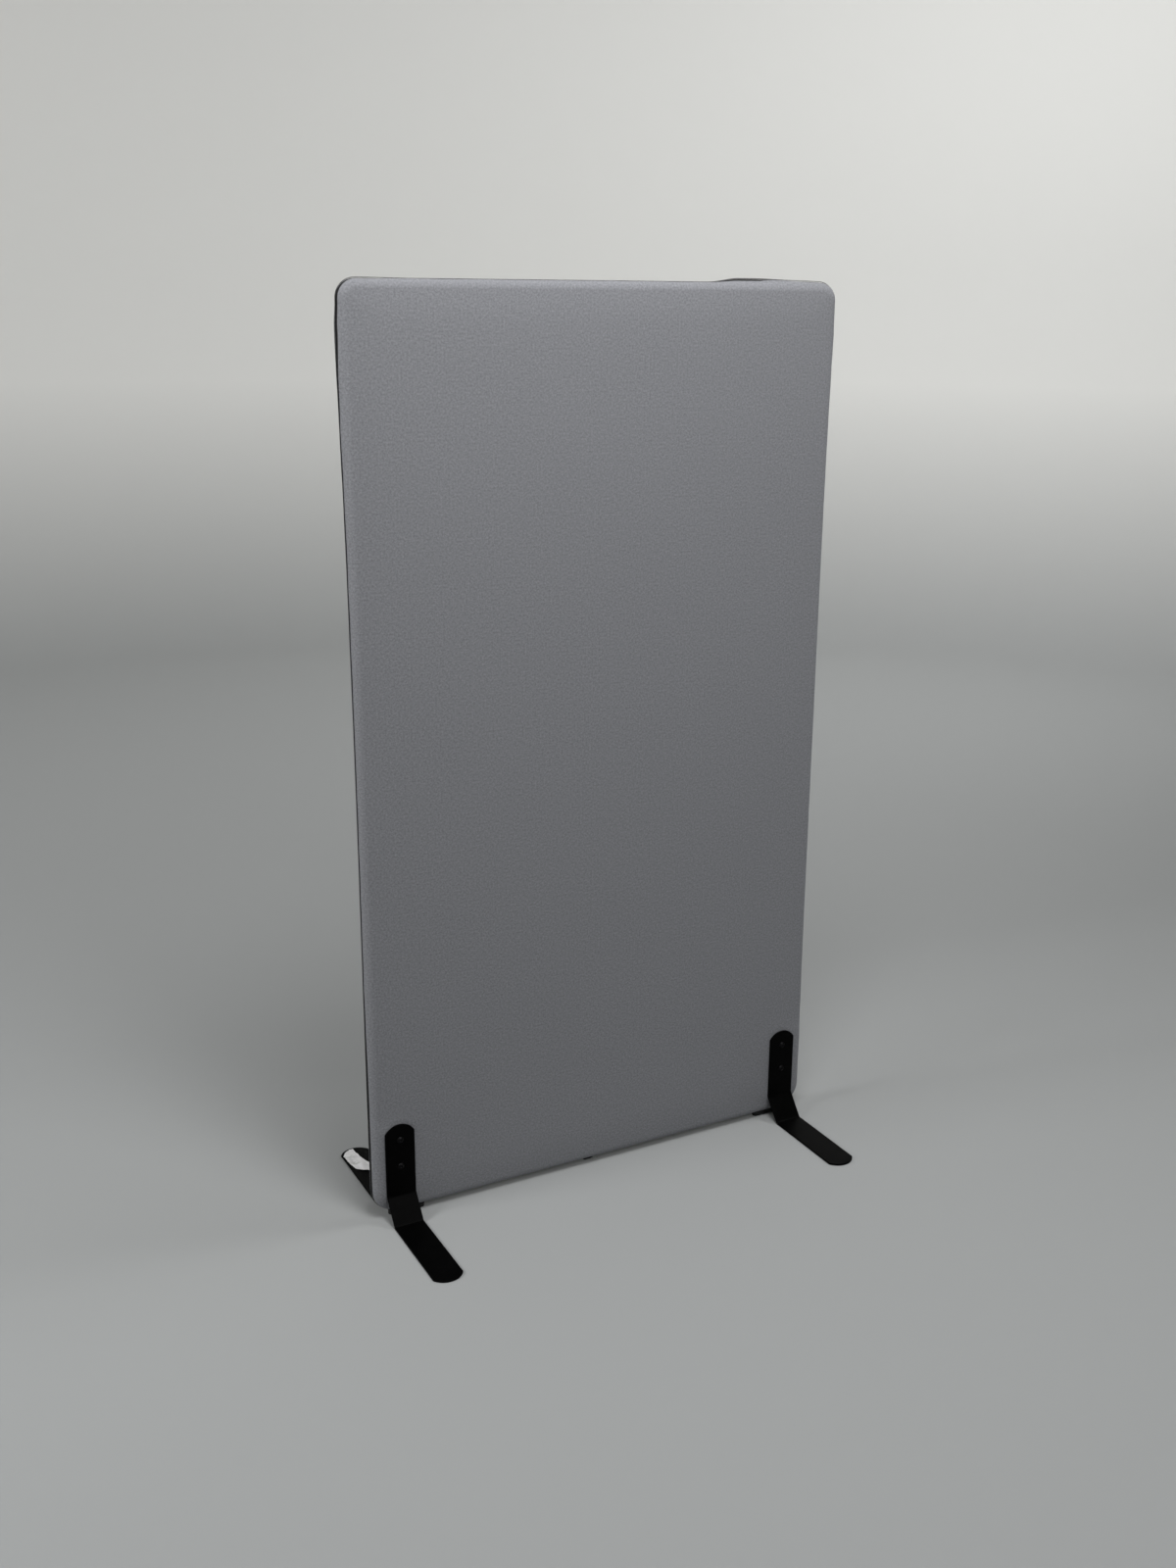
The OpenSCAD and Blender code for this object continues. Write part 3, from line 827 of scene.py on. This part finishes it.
def teeth(face):
    """One row of coil teeth: small six-sided loops that arch from the tape to just past
    the middle, where they pass between the loops of the other row."""
    core, out, _ = zip_line(TEETH_TOP, TOOTH_PITCH)
    if face > 0:
        core, out = (np.roll(core, -1, 0) + core) / 2, (np.roll(out, -1, 0) + out) / 2
    tangent = np.column_stack([-out[:, 1], out[:, 0]])
    station_y, sunk, wide, tall = TOOTH.T
    angle = np.radians(np.arange(6) * 60)
    lay = wide[:, None] * np.cos(angle)
    rise = TEETH_TOP - sunk[:, None] + tall[:, None] * np.sin(angle)
    spread = (core[:, None, None] + out[:, None, None] * rise[None, ..., None]
              + tangent[:, None, None] * lay[None, ..., None])
    y = np.broadcast_to(-station_y[None, :, None], spread.shape[:3])
    points = np.stack([spread[..., 0], y, spread[..., 1] + MID_Z], -1)
    count, stations, sides = points.shape[:3]
    numbers = np.arange(stations * sides).reshape(stations, sides)
    caps = [[3, 2, 1, 0], [5, 4, 3, 0]]
    end_caps = [numbers[-1][cap[::-1]] for cap in caps]
    tooth = np.vstack([ring_quads(numbers)[:, ::-1], caps, end_caps])
    quads = (tooth[None] + np.arange(count)[:, None, None] * numbers.size).reshape(-1, 4)
    return finish_half(face, "zip_coil_{}_row", points.reshape(-1, 3), quads, nylon,
                       "zip_teeth_{}", smooth=False)


tapes = [tape(-1), tape(1)]
coils = [teeth(-1), teeth(1)]
for node_name, name, body, round_mm in (("zip_slider", "zip_slider_casting", "slider", 0.35),
                                        ("zip_pull", "zip_pull_tab", "pull", 0.22),
                                        ("zip_stop", "zip_stop_clamp", "panel", 0.3)):
    casting = copy_with_round_edges(node_name, name, round_mm, enamel)
    finish_piece(casting, body, node_name)


# ---- Legs ----

def at_leg(side, face, points):
    """Leg space (away from the panel's face, across the leg, up) to the row frame."""
    away, across, up = points[:, 0], points[:, 1], points[:, 2]
    return np.column_stack([side * LEG_X - face * across, face * (EDGE_R + away), up])


def leg_heading(along):
    """Direction of the strip's middle line, from 0 down the tab to a quarter turn along
    the floor, and the length of the whole line."""
    tilt = math.atan2(TOE_BEND - LEG_T, TAB_BEND - LEG_T)
    radius = BEND_R + LEG_T / 2
    upper = (LEG_T + BEND_R, TAB_BEND + BEND_R * math.tan(tilt / 2))
    lower = (TOE_BEND + BEND_R * math.tan((math.pi / 2 - tilt) / 2), LEG_T + BEND_R)
    first = TAB_TOP - upper[1]
    second = first + radius * tilt
    third = second + math.dist(upper, lower)
    fourth = third + radius * (math.pi / 2 - tilt)
    length = fourth + LEG_REACH - lower[0]
    turn = np.clip((along - first) / radius, 0, tilt)
    return turn + np.clip((along - third) / radius, 0, math.pi / 2 - tilt), length


def bend_strip(points):
    """Flat strip coordinates (along, across, height over the middle) to leg space: the
    middle line is found by adding up short steps along its heading."""
    step = 0.05
    fine = np.arange(0, leg_heading(0)[1] + 2 * step, step)
    heading = leg_heading(fine)[0]
    away = LEG_T / 2 + np.concatenate([[0], np.cumsum(np.sin(heading[:-1]) * step)])
    up = TAB_TOP - np.concatenate([[0], np.cumsum(np.cos(heading[:-1]) * step)])
    along, across, height = points.T
    turn = leg_heading(along)[0]
    return np.column_stack([np.interp(along, fine, away) + height * np.cos(turn), across,
                            np.interp(along, fine, up) + height * np.sin(turn)])


def strip_face(inset):
    """A grid over the flat strip, drawn in by an inset.  Its end lines are arcs, and the
    lines near them are blended from arc to straight."""
    length = leg_heading(0)[1]
    half = LEG_W / 2 - inset
    across = half * np.sin(np.linspace(-math.pi / 2, math.pi / 2, 21))[None]
    end_r = ((LEG_W / 2) ** 2 + END_SAGITTA ** 2) / (2 * END_SAGITTA) - inset
    arc = end_r - np.sqrt(end_r ** 2 - across ** 2)
    reach = 40      # the blend ends this far in
    near = reach * np.linspace(0, 1, 12)[:-1] ** 1.3
    middle = np.linspace(reach, length - reach, 150)
    along = np.concatenate([near + inset * (1 - near / reach), middle,
                            (length - near - inset * (1 - near / reach))[::-1]])
    lift = np.clip(1 - along / reach, 0, 1) - np.clip(1 - (length - along) / reach, 0, 1)
    lines = along[:, None] + lift[:, None] * arc
    return np.dstack([lines, np.broadcast_to(across, lines.shape)])


def leg(side, face, name):
    """A sheared and bent steel strip with softened edges."""
    edge = 0.7
    points, quads = plate(strip_face(edge), LEG_T / 2, -LEG_T / 2, edge)
    made = add_mesh(f"leg_{name}_strip", at_leg(side, face, bend_strip(points)), quads, steel)
    return finish_piece(made, "panel", f"leg_{name}")


SCREW_D, HEAD_D, HEAD_H = 6, 10.5, 3.3
SOCKET = 4                  # across flats


def screw(side, face, name, height, label):
    """A domed socket screw: a profile turned about its axis, whose last stations pass
    from round to the six flats of the socket."""
    dome_r = ((HEAD_D / 2) ** 2 + HEAD_H ** 2) / (2 * HEAD_H)
    rim = SOCKET / math.sqrt(3)
    low, high = box_mm(f"screws_{name}")
    tip = min(abs(low[1]), abs(high[1])) - EDGE_R - LEG_T
    dome_radius = np.linspace(HEAD_D / 2 - 0.25, rim + 0.25, 9)
    dome = np.column_stack([dome_radius,
                            HEAD_H - dome_r + np.sqrt(dome_r ** 2 - dome_radius ** 2)])
    floor = HEAD_H * 0.4
    profile = np.vstack([[0, tip], [SCREW_D / 2 - 0.8, tip], [SCREW_D / 2, tip + 0.8],
                         [SCREW_D / 2, 0], [HEAD_D / 2 - 0.1, 0], [HEAD_D / 2, 0.12],
                         [HEAD_D / 2 - 0.04, 0.3], dome,
                         [rim + 0.05, dome[-1, 1] - 0.12], [rim, dome[-1, 1] - 0.35],
                         [rim, floor], [rim * 0.5, floor - 0.25], [0, floor - 0.4]])
    hexed = np.concatenate([np.zeros(len(profile) - 6), [0.35, 0.8, 1, 1, 1, 1]])
    angle = np.linspace(0, 2 * math.pi, 48, endpoint=False)
    flats = math.cos(math.pi / 6) / np.cos(angle % (math.pi / 3) - math.pi / 6)
    radius = profile[:, :1] * (1 + hexed[:, None] * (flats - 1))
    rings = np.stack([np.broadcast_to(LEG_T + profile[:, 1:], radius.shape),
                      radius * np.cos(angle), height + radius * np.sin(angle)], -1)
    numbers = np.arange(radius.size).reshape(radius.shape)
    made = add_mesh(f"screw_{name}_{label}", at_leg(side, face, rings.reshape(-1, 3)),
                    ring_quads(numbers)[:, ::-1], screw_steel, weld=True)
    return finish_piece(made, "panel", f"screws_{name}")


for face, face_name in FACE_NAME.items():
    for side, side_name in SIDE_NAME.items():
        place = f"{face_name}_{side_name}"
        leg(side, face, place)
        screw_low, screw_high = box_mm(f"screws_{place}")
        screw(side, face, place, screw_high[2] - HEAD_D / 2, "upper")
        screw(side, face, place, screw_low[2] + HEAD_D / 2, "lower")
        insert = copy_with_round_edges(f"inserts_{place}", f"inserts_{place}_pair", 0.2, zinc)
        finish_piece(insert, "panel", f"inserts_{place}")

for side_name in SIDE_NAME.values():
    glide = copy_with_round_edges(f"glide_{side_name}", f"glide_{side_name}_strip", 0.7, epdm, 3)
    finish_piece(glide, "panel", f"glide_{side_name}")


# ---- Paper label on the back left leg ----

PAPER_T = 0.14


def creases(x, y, count):
    """Height of sharp folds at random across the paper: each is a ridge along a straight
    line that falls away on both sides as a tent does."""
    height = 0 * x
    for _ in range(count):
        turn = rng.uniform(0, math.pi)
        offset = rng.uniform(-26, 26)
        tall, wide = rng.uniform(0.25, 0.7), rng.uniform(3, 7)
        along = (x - x.mean()) * math.sin(turn) + (y - y.mean()) * math.cos(turn)
        height = height + tall * np.maximum(1 - np.abs(along - offset) / wide, 0)
    return height


def label():
    """A torn label: a grid between two torn edges, each a line through its main points
    with fine tearing, that rises in creases, in a blister and along its edges.  The edges
    are given by shares of the length and of half the leg's width."""
    low, high = box_mm("paper_label")
    length = high[1] - low[1]
    tip = high[1] - EDGE_R
    share = np.linspace(0, 1, 110)
    upper = np.interp(share, [0, .09, .2, .4, .58, .72, .83, .86, 1],
                      [.25, .7, .95, .92, .8, .7, .33, .05, -.15])
    lower = np.interp(share, [0, .09, .33, .58, .78, .98, 1],
                      [0, 0, -.05, -.37, -.65, -.55, -.45])
    upper = upper + 0.03 * waves(1, (0.02, 0.2), share, 12)
    lower = lower + 0.03 * waves(1, (0.02, 0.2), share, 12)
    across = np.linspace(0, 1, 48)
    y = (lower[:, None] * (1 - across) + upper[:, None] * across) * LEG_W / 2
    x = tip - share[:, None] * length + 0 * y
    folds = creases(x, y, 7)
    off_blister = ((share[:, None] - 0.62) / 0.09) ** 2 + ((across - 0.45) / 0.2) ** 2
    blister = 1.6 * np.exp(-off_blister ** 2)
    curl = 1.8 * (np.abs(across - 0.5) * 2)[None] ** 6 * np.abs(waves(90, (30, 80), x, 4))
    top = np.dstack([x, y, LEG_T + 0.35 + folds + blister + curl, x * MM, y * MM])
    drop = np.array([0, 0, PAPER_T, 0, 0])
    points, quads = wrap(top, border(top)[None] - drop / 2, top - drop)
    placed = np.column_stack([at_leg(-1, 1, points), points[:, 3:]])
    made = add_mesh("paper_label_torn", placed, quads[:, ::-1], paper)
    return finish_piece(made, "panel", "paper_label")


torn_label = label()


# ---- Materials of the frame nodes that are shown as they are ----

for finish, names in ((pine_upright, ("stile_left", "stile_right")),
                      (pine_crosswise, ("rail_top", "rail_middle", "rail_bottom")),
                      (beech, ("dowels_top", "dowels_middle", "dowels_bottom"))):
    for name in names:
        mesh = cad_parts[name].data
        mesh.materials.clear()
        mesh.materials.append(finish)


# ---- Stage and light ----

def stage():
    """Floor and backdrop as one surface of revolution: a flat disc, a wide curve and a
    wall, turned about the object."""
    flat_r, curve_r, wall, sides = 4.2, 1.6, 5.0, 96
    turn = np.linspace(0, math.pi / 2, 24)
    radius = np.concatenate([[0.001, flat_r / 2], flat_r + curve_r * np.sin(turn),
                             [flat_r + curve_r]])
    height = np.concatenate([[0, 0], curve_r * (1 - np.cos(turn)), [wall]])
    angle = np.linspace(0, 2 * math.pi, sides, endpoint=False)
    rings = np.stack([radius[:, None] * np.cos(angle), radius[:, None] * np.sin(angle),
                      height[:, None] + 0 * angle], -1) / MM
    numbers = np.arange(len(rings) * sides).reshape(-1, sides)
    made = add_mesh("stage", rings.reshape(-1, 3), ring_quads(numbers),
                    stage_paint("#a3a5a5", "#e8e8e5"))


def soft_light(name, place, target, size, power):
    """A round white area light at a place, facing a target."""
    data = bpy.data.lights.new(name, "AREA")
    data.shape = "DISK"
    data.size = size
    data.energy = power
    back = np.subtract(place, target)
    back /= np.linalg.norm(back)
    side = np.cross([0, 0, 1], back)
    side /= np.linalg.norm(side)
    add_object(name, data).matrix_world = axes_at(place, side, np.cross(back, side), back)


stage()
soft_light("top_light", (-0.2, -0.8, 2.6), (0, 0, 1.3), 0.8, 25)
soft_light("front_light", (0.3, -2.6, 2.9), (0, 0, 1.0), 1.2, 24)
soft_light("left_light", (-2.5, 0.1, 1.6), (0, 0, 0.9), 0.9, 30)
soft_light("right_light", (1.9, -0.3, 3.0), (0, 0, 1.0), 1.0, 25)
soft_light("left_wall_light", (-1.8, 1.8, 3.0), (-1.5, 6.0, 1.6), 1.5, 32)
soft_light("right_wall_light", (2.6, 1.2, 3.0), (3.2, 6.0, 1.6), 1.5, 73)
world = bpy.data.worlds.new("room")
world.use_nodes = True
background = world.node_tree.nodes["Background"]
background.inputs["Color"].default_value = (1, 1, 1, 1)
background.inputs["Strength"].default_value = 0.08
bpy.context.scene.world = world
bpy.context.scene.view_settings.view_transform = "Standard"
